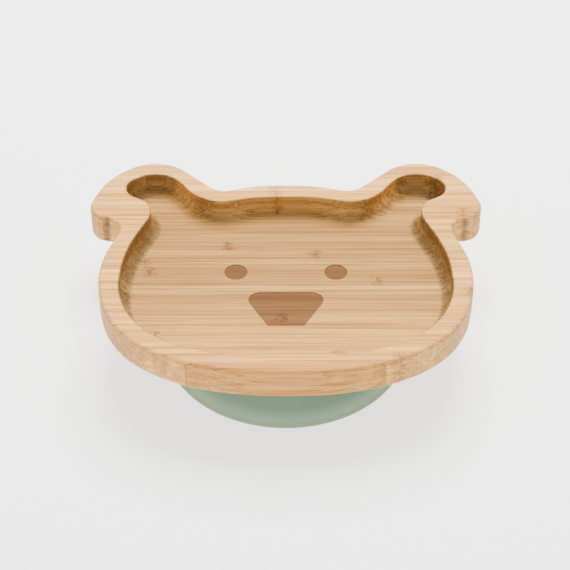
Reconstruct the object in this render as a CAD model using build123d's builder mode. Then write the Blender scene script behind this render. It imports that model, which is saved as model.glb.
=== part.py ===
"""Suction bowl: a routed bamboo plate with a floppy-eared face, on a removable silicone suction base.

Frame: millimetres, +Z up, +X to the ear on the right seen from the front, +Y towards the ears.
The origin is on the table, on the axis of the suction base.
"""
from build123d import *

import os
from math import radians, tan

os.makedirs("parts", exist_ok=True)

# ---- driving dimensions -----------------------------------------------------------------------

# bamboo plate
PLATE_BOTTOM = 32.5
PLATE_THICKNESS = 17.5
RECESS_DEPTH = 12.0
COVE_RADIUS = 7.0
OUTER_ROUND = 2.0
RIM_ROUND = 0.8

# corners of the right half of the plate's edge, from the chin round the cheek, the notch, the
# ear and the valley to the crown; each corner is rounded as far as its edges allow
PLATE_CORNERS = [
    (18.6, -75.3), (48.5, -69.9), (71, -59), (85.6, -46.1), (94.7, -29.9), (99.7, -6.9),
    (98.2, 13.9), (89.8, 35.7), (92.9, 44.2), (103.8, 45.5), (108.8, 56.2), (100.1, 79.8),
    (81.4, 94.3), (63.5, 93.7), (40.7, 71.9), (35.1, 69.3), (16.6, 74.3),
]

# the same for the recess, from the crown into the ear, past the neck and back to the chin
RECESS_CORNERS = [
    (17.1, 63.3), (37.2, 58.2), (50.1, 63.9), (62.6, 81.6), (76.8, 84.1), (89, 75.9),
    (88.2, 65.9), (75.9, 59.1), (73.4, 48.7), (86.7, 17.9), (88.7, -14.6), (79.5, -37.5),
    (61.1, -53.3), (25.7, -63.9),
]

# share of an edge that the rounding at each of its ends takes
EDGE_SHARE = 0.49

# bamboo staves glued edge to edge, each lying along X
STAVE_WIDTH = 7.17
FIRST_JOINT = -68.2
FULL_STAVES = 21
EAR_STAVES = 3

# burnt-in face, a shallow pocket in the floor
FACE_DEPTH = 0.35
EYE_RADIUS = 6.2
EYE_X = 26.9
EYE_Y = 14.2
MUZZLE_TOP = -1.9
MUZZLE_BOTTOM = -28.1
MUZZLE_TOP_HALF = 24.3
MUZZLE_BOTTOM_HALF = 9.6
MUZZLE_BROW_ROUND = 6.2
MUZZLE_CHIN_ROUND = 1.0

# groove under the plate and the silicone bead that presses into it
GROOVE_RADIUS = 46.0
GROOVE_DEPTH = 3.2
BEAD_WIDTH = 4.0
BEAD_HEIGHT = 2.8
BEAD_CLEARANCE = 0.3
BEAD_ROUND = 1.0

# silicone hub: a closed web with a thick ring round it
HUB_RADIUS = 52.0
HUB_BOTTOM = 26.0
HUB_RING_WIDTH = 9.0
WEB_THICKNESS = 3.0

# silicone skirt, and the thin sealing lip that meets the table
LIP_RADIUS = 66.0
LIP_WIDTH = 9.0
LIP_THICKNESS = 1.6
LIP_EDGE = 0.6
SKIRT_FOOT_RADIUS = 64.4
SKIRT_WALL = 3.4
SKIRT_BULGE = 1.5

# release tab, hinged where its thin root meets the lip at the back
TAB_WIDTH = 16.0
TAB_LENGTH = 17.0
TAB_THICKNESS = 2.2
TAB_LIFT = 0.5
TAB_GAP = 0.4
TAB_CORNER = 7.5
RIB_COUNT = 3
RIB_RADIUS = 0.6
RIB_LENGTH = 10.0
RIB_PITCH = 2.6
FIRST_RIB = 6.5

PLATE_TOP = PLATE_BOTTOM + PLATE_THICKNESS
FLOOR_TOP = PLATE_TOP - RECESS_DEPTH
BEAD_INNER = GROOVE_RADIUS - BEAD_WIDTH / 2
BEAD_OUTER = GROOVE_RADIUS + BEAD_WIDTH / 2
TAB_AXIS_Y = LIP_RADIUS + TAB_GAP + TAB_THICKNESS / 2
TAB_AXIS_Z = TAB_LIFT + TAB_THICKNESS / 2
LAST_JOINT = FIRST_JOINT + (FULL_STAVES - 1) * STAVE_WIDTH


def rounded_outline(corners):
    """Closed outline through the corners and their mirror images, made of tangent arcs."""
    loop = corners + [(-x, y) for x, y in reversed(corners)]
    radii = []
    for before, corner, after in zip(loop[-1:] + loop[:-1], loop, loop[1:] + loop[:1]):
        arriving = Vector(corner) - Vector(before)
        leaving = Vector(after) - Vector(corner)
        half_turn = radians(arriving.get_angle(leaving) / 2)
        radii.append(EDGE_SHARE * min(arriving.length, leaving.length) / tan(half_turn))
    return FilletPolyline(*loop, radius=radii, close=True)


# ---- routed board, whole ----------------------------------------------------------------------

with BuildPart() as board:
    with BuildSketch(Plane.XY.offset(PLATE_BOTTOM)):
        with BuildLine():
            rounded_outline(PLATE_CORNERS)
        make_face()
    extrude(amount=PLATE_THICKNESS)
    rims = board.edges().group_by(Axis.Z)
    fillet(rims[0] + rims[-1], radius=OUTER_ROUND)

    with BuildSketch(Plane.XY.offset(FLOOR_TOP)):
        with BuildLine():
            rounded_outline(RECESS_CORNERS)
        make_face()
    extrude(amount=RECESS_DEPTH, mode=Mode.SUBTRACT)
    cove = board.edges(Select.LAST).group_by(Axis.Z)[0]
    fillet(cove, radius=COVE_RADIUS)
    inner_rim = board.faces().sort_by(Axis.Z)[-1].inner_wires()[0]
    fillet(inner_rim.edges(), radius=RIM_ROUND)

    # burnt-in eyes and muzzle
    with BuildSketch(Plane.XY.offset(FLOOR_TOP - FACE_DEPTH)):
        with Locations((EYE_X, EYE_Y), (-EYE_X, EYE_Y)):
            Circle(EYE_RADIUS)
        with BuildLine():
            FilletPolyline(
                (MUZZLE_BOTTOM_HALF, MUZZLE_BOTTOM), (MUZZLE_TOP_HALF, MUZZLE_TOP),
                (-MUZZLE_TOP_HALF, MUZZLE_TOP), (-MUZZLE_BOTTOM_HALF, MUZZLE_BOTTOM),
                radius=[MUZZLE_CHIN_ROUND, MUZZLE_BROW_ROUND, MUZZLE_BROW_ROUND, MUZZLE_CHIN_ROUND],
                close=True,
            )
        make_face()
    extrude(amount=FACE_DEPTH, mode=Mode.SUBTRACT)

    # ring groove in the underside, for the suction base's bead
    with BuildSketch(Plane.XY.offset(PLATE_BOTTOM)):
        Circle(BEAD_OUTER + BEAD_CLEARANCE)
        Circle(BEAD_INNER - BEAD_CLEARANCE, mode=Mode.SUBTRACT)
    extrude(amount=GROOVE_DEPTH, mode=Mode.SUBTRACT)


# ---- bamboo staves: the board between one glue joint and the next ------------------------------


def make_stave(name, front, back, left, right):
    """The stretch of the board between two glue joints (Y) and two ends (X), as its own node."""
    with BuildPart() as stave:
        add(board.part)
        with Locations(((left + right) / 2, (front + back) / 2, PLATE_BOTTOM)):
            Box(
                right - left, back - front, PLATE_THICKNESS,
                align=(Align.CENTER, Align.CENTER, Align.MIN), mode=Mode.INTERSECT,
            )
    stave.part.label = name
    export_step(stave.part, f"parts/{name}.step")


FRONT_END = -80.0
BACK_END = 100.0
SIDE_END = 120.0

for number in range(1, FULL_STAVES + 1):
    stave_back = FIRST_JOINT + (number - 1) * STAVE_WIDTH
    stave_front = FRONT_END if number == 1 else stave_back - STAVE_WIDTH
    make_stave(f"bamboo_stave_{number:02d}", stave_front, stave_back, -SIDE_END, SIDE_END)

# behind the crown only the ears remain, so each stave there is a left and a right piece
for number in range(1, EAR_STAVES + 1):
    stave_front = LAST_JOINT + (number - 1) * STAVE_WIDTH
    stave_back = BACK_END if number == EAR_STAVES else stave_front + STAVE_WIDTH
    make_stave(f"left_ear_stave_{number}", stave_front, stave_back, -SIDE_END, 0)
    make_stave(f"right_ear_stave_{number}", stave_front, stave_back, 0, SIDE_END)


# ---- silicone suction base --------------------------------------------------------------------

# hub: closed web, thick ring round it, and the bead that presses into the plate's groove
with BuildPart() as suction_hub:
    with BuildSketch(Plane.XZ):
        with BuildLine():
            Polyline(
                (0, PLATE_BOTTOM - WEB_THICKNESS),
                (HUB_RADIUS - HUB_RING_WIDTH, PLATE_BOTTOM - WEB_THICKNESS),
                (HUB_RADIUS - HUB_RING_WIDTH, HUB_BOTTOM),
                (HUB_RADIUS, HUB_BOTTOM),
                (HUB_RADIUS, PLATE_BOTTOM),
                (BEAD_OUTER, PLATE_BOTTOM),
                (BEAD_OUTER, PLATE_BOTTOM + BEAD_HEIGHT),
                (BEAD_INNER, PLATE_BOTTOM + BEAD_HEIGHT),
                (BEAD_INNER, PLATE_BOTTOM),
                (0, PLATE_BOTTOM),
                close=True,
            )
        make_face()
    revolve(axis=Axis.Z)
    bead_crest = suction_hub.edges().group_by(Axis.Z)[-1]
    fillet(bead_crest, radius=BEAD_ROUND)
suction_hub.part.label = "suction_hub"
export_step(suction_hub.part, "parts/suction_hub.step")

# skirt: the flexing bell between the hub and the lip, bulging slightly outwards
with BuildPart() as suction_skirt:
    with BuildSketch(Plane.XZ):
        with BuildLine():
            shoulder = (HUB_RADIUS, HUB_BOTTOM)
            foot = (SKIRT_FOOT_RADIUS, LIP_THICKNESS)
            outside = SagittaArc(shoulder, foot, SKIRT_BULGE)
            inside = SagittaArc(
                (HUB_RADIUS - SKIRT_WALL, HUB_BOTTOM), (SKIRT_FOOT_RADIUS - SKIRT_WALL, LIP_THICKNESS),
                SKIRT_BULGE,
            )
            Line(outside @ 0, inside @ 0)
            Line(outside @ 1, inside @ 1)
        make_face()
    revolve(axis=Axis.Z)
suction_skirt.part.label = "suction_skirt"
export_step(suction_skirt.part, "parts/suction_skirt.step")

# lip: the thin flat ring that seals against the table, thinning to its outer edge
with BuildPart() as sealing_lip:
    with BuildSketch(Plane.XZ):
        with BuildLine():
            Polyline(
                (LIP_RADIUS - LIP_WIDTH, 0),
                (LIP_RADIUS, 0),
                (LIP_RADIUS, LIP_EDGE),
                (SKIRT_FOOT_RADIUS, LIP_THICKNESS),
                (LIP_RADIUS - LIP_WIDTH, LIP_THICKNESS),
                close=True,
            )
        make_face()
    revolve(axis=Axis.Z)
sealing_lip.part.label = "sealing_lip"
export_step(sealing_lip.part, "parts/sealing_lip.step")

# tab: a tongue behind the lip with grip ribs, rounded at its root so that it can fold up
with BuildPart() as release_tab:
    with BuildSketch(Plane.XY.offset(TAB_LIFT)):
        with Locations((0, TAB_AXIS_Y)):
            Rectangle(TAB_WIDTH, TAB_LENGTH, align=(Align.CENTER, Align.MIN))
    extrude(amount=TAB_THICKNESS)
    fillet(release_tab.edges().filter_by(Axis.Z).group_by(Axis.Y)[-1], radius=TAB_CORNER)
    with BuildSketch(Plane.YZ.offset(-TAB_WIDTH / 2)):
        with Locations((TAB_AXIS_Y, TAB_AXIS_Z)):
            Circle(TAB_THICKNESS / 2)
    extrude(amount=TAB_WIDTH)
    for rib in range(RIB_COUNT):
        with Locations((0, TAB_AXIS_Y + FIRST_RIB + rib * RIB_PITCH, TAB_LIFT + TAB_THICKNESS)):
            Cylinder(RIB_RADIUS, RIB_LENGTH, rotation=(0, 90, 0))
release_tab.part.label = "release_tab"
export_step(release_tab.part, "parts/release_tab.step")
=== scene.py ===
"""Looks of the suction bowl: oiled laminated bamboo on a sage green silicone suction base.

Everything is in metres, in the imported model's frame: +Z up, the ears towards +Y, the table at Z = 0.
"""
import math

import bmesh
import bpy
import numpy as np
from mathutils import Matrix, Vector


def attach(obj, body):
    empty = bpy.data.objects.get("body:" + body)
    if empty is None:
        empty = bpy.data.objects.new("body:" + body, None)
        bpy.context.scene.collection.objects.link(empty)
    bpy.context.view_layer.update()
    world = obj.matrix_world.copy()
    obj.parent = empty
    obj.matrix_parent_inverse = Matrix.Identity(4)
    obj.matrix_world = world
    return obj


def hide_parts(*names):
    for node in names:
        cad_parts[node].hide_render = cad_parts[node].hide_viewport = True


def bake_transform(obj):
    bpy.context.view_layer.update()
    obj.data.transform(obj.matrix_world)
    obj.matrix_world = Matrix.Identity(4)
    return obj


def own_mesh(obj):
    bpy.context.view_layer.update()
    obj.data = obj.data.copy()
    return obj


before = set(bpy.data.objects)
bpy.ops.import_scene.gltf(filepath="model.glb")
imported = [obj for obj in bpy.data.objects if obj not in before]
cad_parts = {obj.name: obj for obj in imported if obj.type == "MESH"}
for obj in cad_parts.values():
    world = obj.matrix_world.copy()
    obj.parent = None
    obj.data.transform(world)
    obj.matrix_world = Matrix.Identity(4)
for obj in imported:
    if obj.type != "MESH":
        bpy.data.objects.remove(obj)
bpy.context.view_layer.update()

MM = 0.001
MERGE_DISTANCE = 1e-6


# ---- small helpers ----------------------------------------------------------------------------


def srgb(code):
    """An sRGB hex colour as a linear RGBA value."""
    channels = [int(code[i:i + 2], 16) / 255 for i in (0, 2, 4)]
    linear = [c / 12.92 if c <= 0.04045 else ((c + 0.055) / 1.055) ** 2.4 for c in channels]
    return (*linear, 1.0)


def add(tree, kind, inputs=None, **settings):
    """Adds one node, sets its properties, and fills its inputs with values or with other outputs."""
    made = tree.nodes.new(kind)
    for name, value in settings.items():
        setattr(made, name, value)
    for socket, value in (inputs or {}).items():
        if isinstance(value, bpy.types.NodeSocket):
            tree.links.new(value, made.inputs[socket])
        else:
            made.inputs[socket].default_value = value
    return made.outputs


def new_material(name):
    """An empty node material with its Principled shader wired to the output."""
    material = bpy.data.materials.new(name)
    material.use_nodes = True
    tree = material.node_tree
    return material, tree, tree.nodes["Principled BSDF"]


def grid_mesh(name, points, close_rows, close_columns):
    """A surface through points[row, column], with smooth quads, closed round rows or columns as asked."""
    rows, columns = points.shape[:2]
    index = np.arange(rows * columns).reshape(rows, columns)
    a = index if close_rows else index[:-1]
    b = np.roll(index, -1, 0) if close_rows else index[1:]
    if close_columns:
        quads = np.stack([a, np.roll(a, -1, 1), np.roll(b, -1, 1), b], -1)
    else:
        quads = np.stack([a[:, :-1], a[:, 1:], b[:, 1:], b[:, :-1]], -1)
    mesh = bpy.data.meshes.new(name)
    mesh.from_pydata(points.reshape(-1, 3).tolist(), [], quads.reshape(-1, 4).tolist())
    made = bpy.data.objects.new(name, mesh)
    bpy.context.scene.collection.objects.link(made)
    return made


def finish_mesh(piece, close_ends=False):
    """Merges doubled points at seams and poles, closes open ends where asked, turns the faces
    outwards and shades them smooth."""
    work = bmesh.new()
    work.from_mesh(piece.data)
    bmesh.ops.remove_doubles(work, verts=work.verts, dist=MERGE_DISTANCE)
    if close_ends:
        bmesh.ops.holes_fill(work, edges=[edge for edge in work.edges if edge.is_boundary])
    bmesh.ops.dissolve_degenerate(work, edges=work.edges, dist=MERGE_DISTANCE / 10)
    bmesh.ops.recalc_face_normals(work, faces=work.faces)
    work.to_mesh(piece.data)
    work.free()
    piece.data.shade_smooth()


def rounded(corners, steps=7):
    """A polygon's outline with each corner (r, z, radius) replaced by an arc of that radius."""
    corners = np.array(corners, float)
    places, radii = corners[:, :2], corners[:, 2]
    back = np.roll(places, 1, 0) - places
    ahead = np.roll(places, -1, 0) - places
    back /= np.linalg.norm(back, axis=1)[:, None]
    ahead /= np.linalg.norm(ahead, axis=1)[:, None]
    half = np.arccos(np.clip((back * ahead).sum(1), -1, 1)) / 2
    reach = radii / np.tan(half)
    centres = places + (back + ahead) / np.linalg.norm(back + ahead, axis=1)[:, None] * (
        radii / np.sin(half))[:, None]
    start = places + back * reach[:, None]
    end = places + ahead * reach[:, None]
    t = np.linspace(0, 1, steps)[None, :, None]
    chord = start[:, None] * (1 - t) + end[:, None] * t
    spoke = chord - centres[:, None]
    spoke *= (radii[:, None] / np.maximum(np.linalg.norm(spoke, axis=2), 1e-9))[..., None]
    return (centres[:, None] + spoke).reshape(-1, 2)


def smooth_curve(knots, count):
    """A Catmull-Rom curve through the knots, sampled evenly in its parameter."""
    knots = np.array(knots, float)
    ends = np.vstack([2 * knots[0] - knots[1], knots, 2 * knots[-1] - knots[-2]])
    u = np.linspace(0, len(knots) - 1 - 1e-9, count)
    i = u.astype(int)
    f = (u - i)[:, None]
    p0, p1, p2, p3 = ends[i], ends[i + 1], ends[i + 2], ends[i + 3]
    return 0.5 * (
        2 * p1 + (p2 - p0) * f + (2 * p0 - 5 * p1 + 4 * p2 - p3) * f ** 2
        + (3 * p1 - p0 - 3 * p2 + p3) * f ** 3)


def revolved(name, outline, turns=180):
    """The closed outline (r, z) in millimetres, carried round the Z axis."""
    angle = np.linspace(0, 2 * np.pi, turns, endpoint=False)
    r, z = outline[:, 0], outline[:, 1]
    points = np.stack([
        np.outer(np.cos(angle), r), np.outer(np.sin(angle), r), np.outer(np.ones(turns), z)], -1)
    made = grid_mesh(name, points * MM, close_rows=True, close_columns=True)
    finish_mesh(made)
    return made


# ---- bamboo -----------------------------------------------------------------------------------

STAVE_WIDTH = 7.17
FIRST_JOINT = -68.2
# heights between which only the burnt-in face lies, and below which the rim ends and the recess floor's
# painted shade starts
BURN_TOP = 37.9
BURN_BOTTOM = 37.5
RIM_FOOT = 48.5
FACE_REACH = 45.0

# how far from the middle a wall has to face before its painted shade deepens (mm)
WALL_REACH = 60.0

# each stave from the chin to the ears: how pale it is, and where its node crosses it (mm along X)
STAVES = [
    (0.12, 160), (0.45, 58), (0.60, -30), (0.50, 27), (0.58, 130), (0.68, -68), (0.50, 150),
    (0.62, -2), (0.52, 96), (0.50, -84), (1.00, 150), (0.46, 49), (0.42, -73), (0.66, -76),
    (0.62, 16), (0.46, -31), (0.55, -100), (0.42, 97), (0.66, 140), (0.48, -5), (0.80, -6),
    (0.70, 84), (0.55, -94), (0.85, 150),
]


def bamboo(name, pale, node_at, seed):
    """Laminated bamboo, sanded and oiled: long pale fibres, darker vascular bundles that end as dots
    on cut ends, one knotty node across each strip, thin glue lines, and a matt open-pored surface."""
    material, tree, shader = new_material(name)
    place = add(tree, "ShaderNodeTexCoord")["Object"]
    mm = add(tree, "ShaderNodeMapping", {"Vector": place, "Scale": (1000, 1000, 1000)})["Vector"]
    axes = add(tree, "ShaderNodeSeparateXYZ", {0: mm})
    x, y, z = axes["X"], axes["Y"], axes["Z"]

    def maths(operation, a, b=0.0, c=0.0, clamp=False):
        return add(tree, "ShaderNodeMath", {0: a, 1: b, 2: c}, operation=operation, use_clamp=clamp)[0]

    def ramp(value, low, high):
        return add(tree, "ShaderNodeMapRange", {
            "Value": value, "From Min": low, "From Max": high}, interpolation_type="SMOOTHSTEP")[0]

    def noise(scale, detail, rough=0.55, shift=0.0, vector=None):
        moved = add(tree, "ShaderNodeMapping", {
            "Vector": vector or mm, "Scale": scale, "Location": (seed * 7.31 + shift, seed * 3.7, shift)})
        return add(tree, "ShaderNodeTexNoise", {
            "Vector": moved["Vector"], "Scale": 1.0, "Detail": detail, "Roughness": rough})["Fac"]

    def mix(fac, a, b, kind="MIX"):
        return add(tree, "ShaderNodeMix", {"Factor": fac, 6: a, 7: b},
                   data_type="RGBA", blend_type=kind)[2]

    # the node: a band a few millimetres wide where the fibres swirl
    sway = noise((0.11, 0.16, 0.16), 2.0, shift=5.0)
    off_node = maths("ABSOLUTE", maths("ADD", maths("SUBTRACT", x, node_at),
                                       maths("MULTIPLY_ADD", sway, 7.0, -3.5)))
    node_band = maths("SUBTRACT", 1.0, ramp(off_node, 1.2, 5.2))
    node_line = maths("SUBTRACT", 1.0, ramp(off_node, 0.25, 1.1))
    swirl = noise((0.35, 0.55, 0.55), 3.0, shift=11.0)
    bend = maths("MULTIPLY", maths("MULTIPLY_ADD", swirl, 2.0, -1.0), maths("MULTIPLY", node_band, 1.6))
    bent = add(tree, "ShaderNodeCombineXYZ", {
        "X": x, "Y": maths("ADD", y, bend), "Z": maths("ADD", z, bend)})[0]

    # fibres over slower bands of tone. Real fibres are 0.3 mm apart, too fine to show, so they are
    # drawn a millimetre apart; the dark veins between them are sharper and sparser
    fibre = noise((0.012, 1.15, 1.15), 4.0, 0.60, 1.0, bent)
    vein = ramp(noise((0.009, 1.5, 1.5), 2.0, 0.5, 4.0, bent), 0.56, 0.68)
    streak = noise((0.006, 0.42, 0.42), 2.0, 0.5, 2.0, bent)
    cloud = noise((0.02, 0.12, 0.12), 2.0, 0.5, 3.0)

    # vascular bundles about 1 mm apart, crowded to one side of the strip as in the cane's outer wall
    from_chin = maths("SUBTRACT", y, FIRST_JOINT - 2 * STAVE_WIDTH)
    across = maths("FRACT", maths("DIVIDE", from_chin, STAVE_WIDTH))
    bundle_place = add(tree, "ShaderNodeMapping", {
        "Vector": bent, "Scale": (0.012, 1.05, 1.05), "Location": (seed * 2.3, seed * 5.1, seed)})[0]
    bundle = add(tree, "ShaderNodeTexVoronoi", {
        "Vector": bundle_place, "Scale": 1.0, "Randomness": 0.9})["Distance"]
    size = maths("MULTIPLY_ADD", across, 0.16, 0.14)
    dots = maths("SUBTRACT", 1.0, ramp(maths("SUBTRACT", bundle, size), 0.0, 0.14))

    # cut ends drink more oil and turn darker
    normal = add(tree, "ShaderNodeNewGeometry")["Normal"]
    turned = add(tree, "ShaderNodeSeparateXYZ", {0: normal})
    cut_end = ramp(maths("ABSOLUTE", turned["X"]), 0.35, 0.95)

    # painted shade in the recess: its floor is darkened, deepest towards the back wall as a painted
    # shadow of it, and its walls, which face back towards the middle of the plate, are darkened most
    # at the sides and in the ears
    towards = maths("DIVIDE", maths("ADD", maths("MULTIPLY", turned["X"], x),
                                    maths("MULTIPLY", turned["Y"], y)), -WALL_REACH)
    wall = ramp(towards, 0.08, 0.55)
    off_middle = ramp(maths("ABSOLUTE", x), 28.0, 52.0)
    recess_floor = maths("MULTIPLY", ramp(turned["Z"], 0.30, 0.85), maths("LESS_THAN", z, RIM_FOOT))

    # glue lines, uneven along their length, and none on the chin in front of the first joint
    from_joint = maths("SUBTRACT", 0.5, maths("ABSOLUTE", maths("SUBTRACT", across, 0.5)))
    patchy = noise((0.03, 0.2, 0.0), 2.0, 0.5, 9.0)
    glue = maths("MULTIPLY", maths("SUBTRACT", 1.0, ramp(from_joint, 0.008, 0.034)),
                 ramp(patchy, 0.36, 0.58))
    glue = maths("MULTIPLY", glue, maths("GREATER_THAN", y, FIRST_JOINT - STAVE_WIDTH / 2))

    # the burnt-in face lies a third of a millimetre under the floor, well inside the cove
    inside = maths("MULTIPLY", maths("LESS_THAN", maths("ABSOLUTE", x), FACE_REACH),
                   maths("LESS_THAN", maths("ABSOLUTE", y), FACE_REACH))
    deep = maths("MULTIPLY", maths("LESS_THAN", z, BURN_TOP), maths("GREATER_THAN", z, BURN_BOTTOM))
    burn = maths("MULTIPLY", inside, deep)

    low, high = srgb("BE8440"), srgb("EDBD72")
    own = [a * (1 - pale) + b * pale for a, b in zip(low, high)]
    darker = [a * b for a, b in zip(own, (0.70, 0.62, 0.50, 1.0))]
    lighter = [min(1.0, a * b) for a, b in zip(own, (1.16, 1.20, 1.22, 1.0))]
    colour = mix(ramp(streak, 0.34, 0.66), darker, lighter)
    colour = mix(maths("MULTIPLY", ramp(fibre, 0.42, 0.64), 0.50), colour, lighter)
    colour = mix(maths("MULTIPLY", vein, 0.72), colour, srgb("8A5420"))
    colour = mix(maths("MULTIPLY", ramp(cloud, 0.45, 0.75), 0.30), colour, srgb("C08A48"))
    dot_strength = maths("MULTIPLY_ADD", cut_end, 0.50, 0.26)
    colour = mix(maths("MULTIPLY", dots, dot_strength), colour, srgb("6E4420"))
    colour = mix(maths("MULTIPLY", cut_end, 0.30), colour, srgb("8A5A2B"))
    speck = ramp(noise((0.40, 1.20, 1.20), 2.0, 0.5, 13.0), 0.50, 0.62)
    colour = mix(maths("MULTIPLY", node_band, maths("MULTIPLY_ADD", speck, 0.60, 0.14)),
                 colour, srgb("7C4C1E"))
    colour = mix(maths("MULTIPLY", node_line, 0.28), colour, srgb("5E3814"))
    colour = mix(maths("MULTIPLY", glue, 0.38), colour, srgb("6B421D"))
    # painted shade: the recess floor is darkened weakly at the chin end and fully behind the middle, as
    # the back wall's painted shadow
    oiled = maths("MULTIPLY_ADD", ramp(y, -58.0, 10.0), 0.80, 0.20)
    colour = mix(maths("MULTIPLY", recess_floor, oiled), colour, srgb("C3C1B9"), "MULTIPLY")
    # painted shade on the recess walls, deepest at the sides and in the ears
    painted_wall_shade = mix(off_middle, srgb("E5EEF6"), srgb("B3BED2"))
    colour = mix(wall, colour, painted_wall_shade, "MULTIPLY")
    colour = mix(maths("MULTIPLY", burn, 0.88), colour, srgb("826A54"), "MULTIPLY")
    tree.links.new(colour, shader.inputs["Base Color"])

    tree.links.new(maths("MULTIPLY_ADD", fibre, 0.16, 0.54), shader.inputs["Roughness"])
    relief = maths("SUBTRACT", maths("MULTIPLY", fibre, 0.5), maths("MULTIPLY", dots, 0.35))
    bump = add(tree, "ShaderNodeBump", {"Height": relief, "Distance": 0.05 * MM, "Strength": 0.6})[0]
    tree.links.new(bump, shader.inputs["Normal"])
    shader.inputs["IOR"].default_value = 1.5
    shader.inputs["Specular IOR Level"].default_value = 0.14
    return material


def give_bamboo(node_name, row):
    """The stave's own strip of bamboo, in every material slot of its CAD node."""
    pale, node_at = STAVES[row]
    material = bamboo("bamboo_" + node_name, pale, node_at, row + 1.0)
    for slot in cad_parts[node_name].material_slots:
        slot.material = material


FULL_STAVES = 21
for row in range(FULL_STAVES):
    give_bamboo(f"bamboo_stave_{row + 1:02d}", row)
for row in range(FULL_STAVES, len(STAVES)):
    for side in ("left", "right"):
        give_bamboo(f"{side}_ear_stave_{row - FULL_STAVES + 1}", row)


# ---- silicone ---------------------------------------------------------------------------------


def silicone():
    """Matt moulded silicone rubber, dyed sage green: soft wide highlights, light that sinks in a
    little at thin edges, and the faint spark-eroded grain of its mould."""
    material, tree, shader = new_material("silicone_sage")
    place = add(tree, "ShaderNodeTexCoord")["Object"]
    mm = add(tree, "ShaderNodeMapping", {"Vector": place, "Scale": (1000, 1000, 1000)})["Vector"]
    mottle = add(tree, "ShaderNodeTexNoise", {"Vector": mm, "Scale": 0.08, "Detail": 3.0})["Fac"]
    height = add(tree, "ShaderNodeSeparateXYZ", {0: mm})["Z"]
    # painted light and shade: the sage is painted paler over its lowest 10 mm towards the lip and darker
    # higher up, where the plate shades it; the thin mask carries this painted shading
    thin = add(tree, "ShaderNodeMapRange", {
        "Value": height, "From Min": 10.0, "From Max": 0.0}, interpolation_type="SMOOTHSTEP")[0]
    tone = add(tree, "ShaderNodeMix", {
        "Factor": mottle, 6: srgb("648673"), 7: srgb("6A8D79")}, data_type="RGBA")[2]
    tone = add(tree, "ShaderNodeMix", {
        "Factor": thin, 6: tone, 7: srgb("98BCA5")}, data_type="RGBA")[2]
    tree.links.new(tone, shader.inputs["Base Color"])
    grain = add(tree, "ShaderNodeTexNoise", {"Vector": mm, "Scale": 3.0, "Detail": 4.0})["Fac"]
    bump = add(tree, "ShaderNodeBump", {"Height": grain, "Distance": 0.02 * MM, "Strength": 0.5})[0]
    tree.links.new(bump, shader.inputs["Normal"])
    shader.inputs["Roughness"].default_value = 0.58
    shader.inputs["IOR"].default_value = 1.41
    shader.inputs["Subsurface Weight"].default_value = 0.25
    shader.inputs["Subsurface Radius"].default_value = (1.0, 1.1, 0.9)
    shader.inputs["Subsurface Scale"].default_value = 1.5 * MM
    shader.inputs["Sheen Weight"].default_value = 0.08
    return material


sage = silicone()


def in_silicone(piece, *nodes):
    """Gives a piece the sage silicone and lets it stand for its CAD nodes."""
    piece.data.materials.append(sage)
    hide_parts(*nodes)


# cup: lip and bell in one smooth wall, outside from the hub down to the lip, then up the inside
CUP_OUTSIDE = [(52, 26), (52.5, 23.6), (54.3, 20), (57.3, 14.6), (60.3, 9), (62.7, 4.6),
               (64.2, 2.2), (65.4, 1.1), (65.95, 0.55)]
CUP_EDGE = [(65.9, 0.2), (65.6, 0.02), (65.0, 0)]
CUP_UNDER = [(58.2, 0), (57.4, 0.15), (57.0, 0.6), (57.1, 1.1), (57.7, 1.6), (58.6, 2.6)]
CUP_INSIDE = [(58.4, 5.2), (56.8, 9), (54.0, 14.6), (51.0, 20), (49.0, 23.6), (48.4, 26)]

cup_outline = np.vstack([
    smooth_curve(CUP_OUTSIDE, 60), smooth_curve(CUP_EDGE, 6), smooth_curve(CUP_UNDER, 18),
    smooth_curve(CUP_INSIDE, 30)])
suction_cup = revolved("suction_cup", cup_outline)
in_silicone(suction_cup, "suction_skirt", "sealing_lip")
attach(suction_cup, "sealing_ring")
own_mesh(suction_cup)

# hub: closed web, thick ring and the bead that sits in the plate's groove
hub_outline = rounded([
    (0, 29.5, 0), (42.6, 29.5, 2.0), (43.4, 26, 0.8), (52, 26, 0.05), (52, 32.45, 0.5),
    (48, 32.45, 0.3), (48, 35.3, 1.0), (44, 35.3, 1.0), (44, 32.45, 0.3), (0, 32.45, 0)])
hub = revolved("silicone_hub", hub_outline)
in_silicone(hub, "suction_hub")
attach(hub, "suction_hub")


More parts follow.
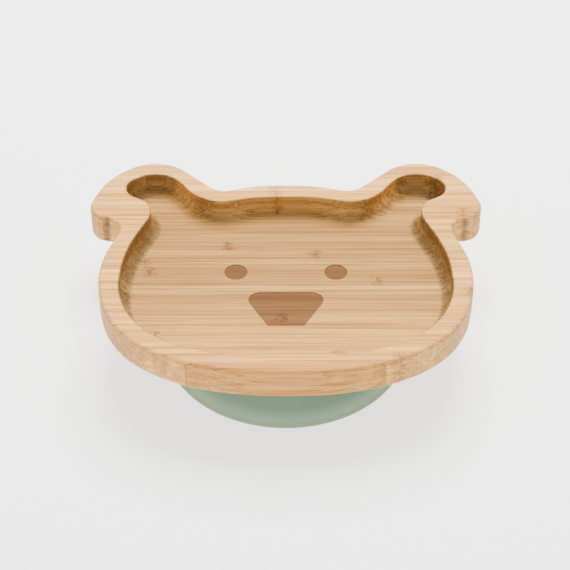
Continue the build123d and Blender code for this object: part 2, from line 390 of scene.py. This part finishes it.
def pull_tab():
    """Release tab: a rounded cross-section carried along Y. Its half-width follows a root, a
    straight stretch and a half-ellipse tip, its thickness swells from the thin web at the lip to
    the grip, and three ribs cross its top."""
    rows, around = 96, 48
    root, tip, tip_start = 64.9, 83.9, 76.4
    web_start, web_length = 65.6, 3.2
    edge_start, edge_length = 82.4, 1.5
    rib_places, rib_height, rib_width = (74.0, 76.6, 79.2), 0.55, 0.62
    y = root + (tip - root) * np.sin(np.linspace(0, np.pi / 2, rows))
    web = np.clip((y - web_start) / web_length, 0, 1)
    web = web * web * (3 - 2 * web)
    half_width = 7.95 * np.sqrt(np.clip(1 - np.clip((y - tip_start) / (tip - tip_start), 0, 1) ** 2, 0, 1))
    edge = np.clip((y - edge_start) / edge_length, 0, 1)
    half_thick = (0.35 + 0.75 * web) * np.sqrt(np.clip(1 - edge ** 2, 0, 1))
    middle = 0.75 + 0.85 * web
    ribs = sum(rib_height * np.exp(-((y - rib) / rib_width) ** 2) for rib in rib_places)
    turn = np.linspace(0, 2 * np.pi, around, endpoint=False)
    cross_x = np.sign(np.cos(turn)) * np.abs(np.cos(turn)) ** 0.35
    cross_z = np.sign(np.sin(turn)) * np.abs(np.sin(turn)) ** 0.6
    inner = np.clip((0.72 - np.abs(cross_x)) / 0.2, 0, 1)
    top = (cross_z > 0) * inner * inner * (3 - 2 * inner)
    points = np.stack([
        np.outer(half_width, cross_x),
        np.outer(y, np.ones(around)),
        middle[:, None] + np.outer(half_thick, cross_z) + np.outer(ribs, top)], -1)
    made = grid_mesh("pull_tab", points * MM, close_rows=False, close_columns=True)
    finish_mesh(made, close_ends=True)
    return made


tab = pull_tab()
in_silicone(tab, "release_tab")
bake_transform(tab)


# ---- stage, light and camera ------------------------------------------------------------------

# the floor lies a hair below the lip, so that the two flat faces don't share a plane
FLOOR_Z = -0.1 * MM
FLOOR_HALF = 6.0

floor_mesh = bpy.data.meshes.new("floor")
floor_mesh.from_pydata(
    [(-FLOOR_HALF, -FLOOR_HALF, FLOOR_Z), (FLOOR_HALF, -FLOOR_HALF, FLOOR_Z),
     (FLOOR_HALF, FLOOR_HALF, FLOOR_Z), (-FLOOR_HALF, FLOOR_HALF, FLOOR_Z)], [], [(0, 1, 2, 3)])
floor = bpy.data.objects.new("floor", floor_mesh)
bpy.context.scene.collection.objects.link(floor)
floor_paint, floor_tree, floor_shader = new_material("white_sweep")
floor_shader.inputs["Base Color"].default_value = srgb("DEE9F7")
floor_shader.inputs["Roughness"].default_value = 0.9
floor_shader.inputs["Emission Color"].default_value = (1, 1, 1, 1)
floor_shader.inputs["Emission Strength"].default_value = 1.7
floor_mesh.materials.append(floor_paint)

# slightly warm studio light; the sweep is slightly blue and glows a little, so it stays white
WARM_WHITE = srgb("FFF6E6")
world = bpy.data.worlds.new("studio")
bpy.context.scene.world = world
world.use_nodes = True
world.node_tree.nodes["Background"].inputs["Color"].default_value = WARM_WHITE
world.node_tree.nodes["Background"].inputs["Strength"].default_value = 0.8


BOWL_MIDDLE = Vector((0, 0, 0.04))


def soft_light(name, place, size, power):
    """A square softbox at place (metres) that faces the bowl."""
    light = bpy.data.lights.new(name, "AREA")
    light.shape = "SQUARE"
    light.size = size
    light.energy = power
    light.color = WARM_WHITE[:3]
    made = bpy.data.objects.new(name, light)
    made.location = place
    made.rotation_euler = (BOWL_MIDDLE - Vector(place)).to_track_quat("-Z", "Y").to_euler()
    bpy.context.scene.collection.objects.link(made)


soft_light("overhead", (0.1, 0.75, 1.3), 0.9, 74)
soft_light("front_fill", (-0.6, -1.3, 0.9), 1.2, 6)

CAMERA_ELEVATION = math.radians(42)
CAMERA_DISTANCE = 1.1
CAMERA_TURN = 0.0
LOOK_AT = Vector((-0.5 * MM, 46 * MM, 0))

camera = bpy.data.objects.new("camera", bpy.data.cameras.new("camera"))
bpy.context.scene.collection.objects.link(camera)
camera.data.lens = 123.25
camera.data.sensor_width = 36
back = Vector((
    math.sin(CAMERA_TURN) * math.cos(CAMERA_ELEVATION),
    -math.cos(CAMERA_TURN) * math.cos(CAMERA_ELEVATION),
    math.sin(CAMERA_ELEVATION)))
camera.location = LOOK_AT + back * CAMERA_DISTANCE
camera.rotation_euler = (-back).to_track_quat("-Z", "Y").to_euler()
bpy.context.scene.camera = camera
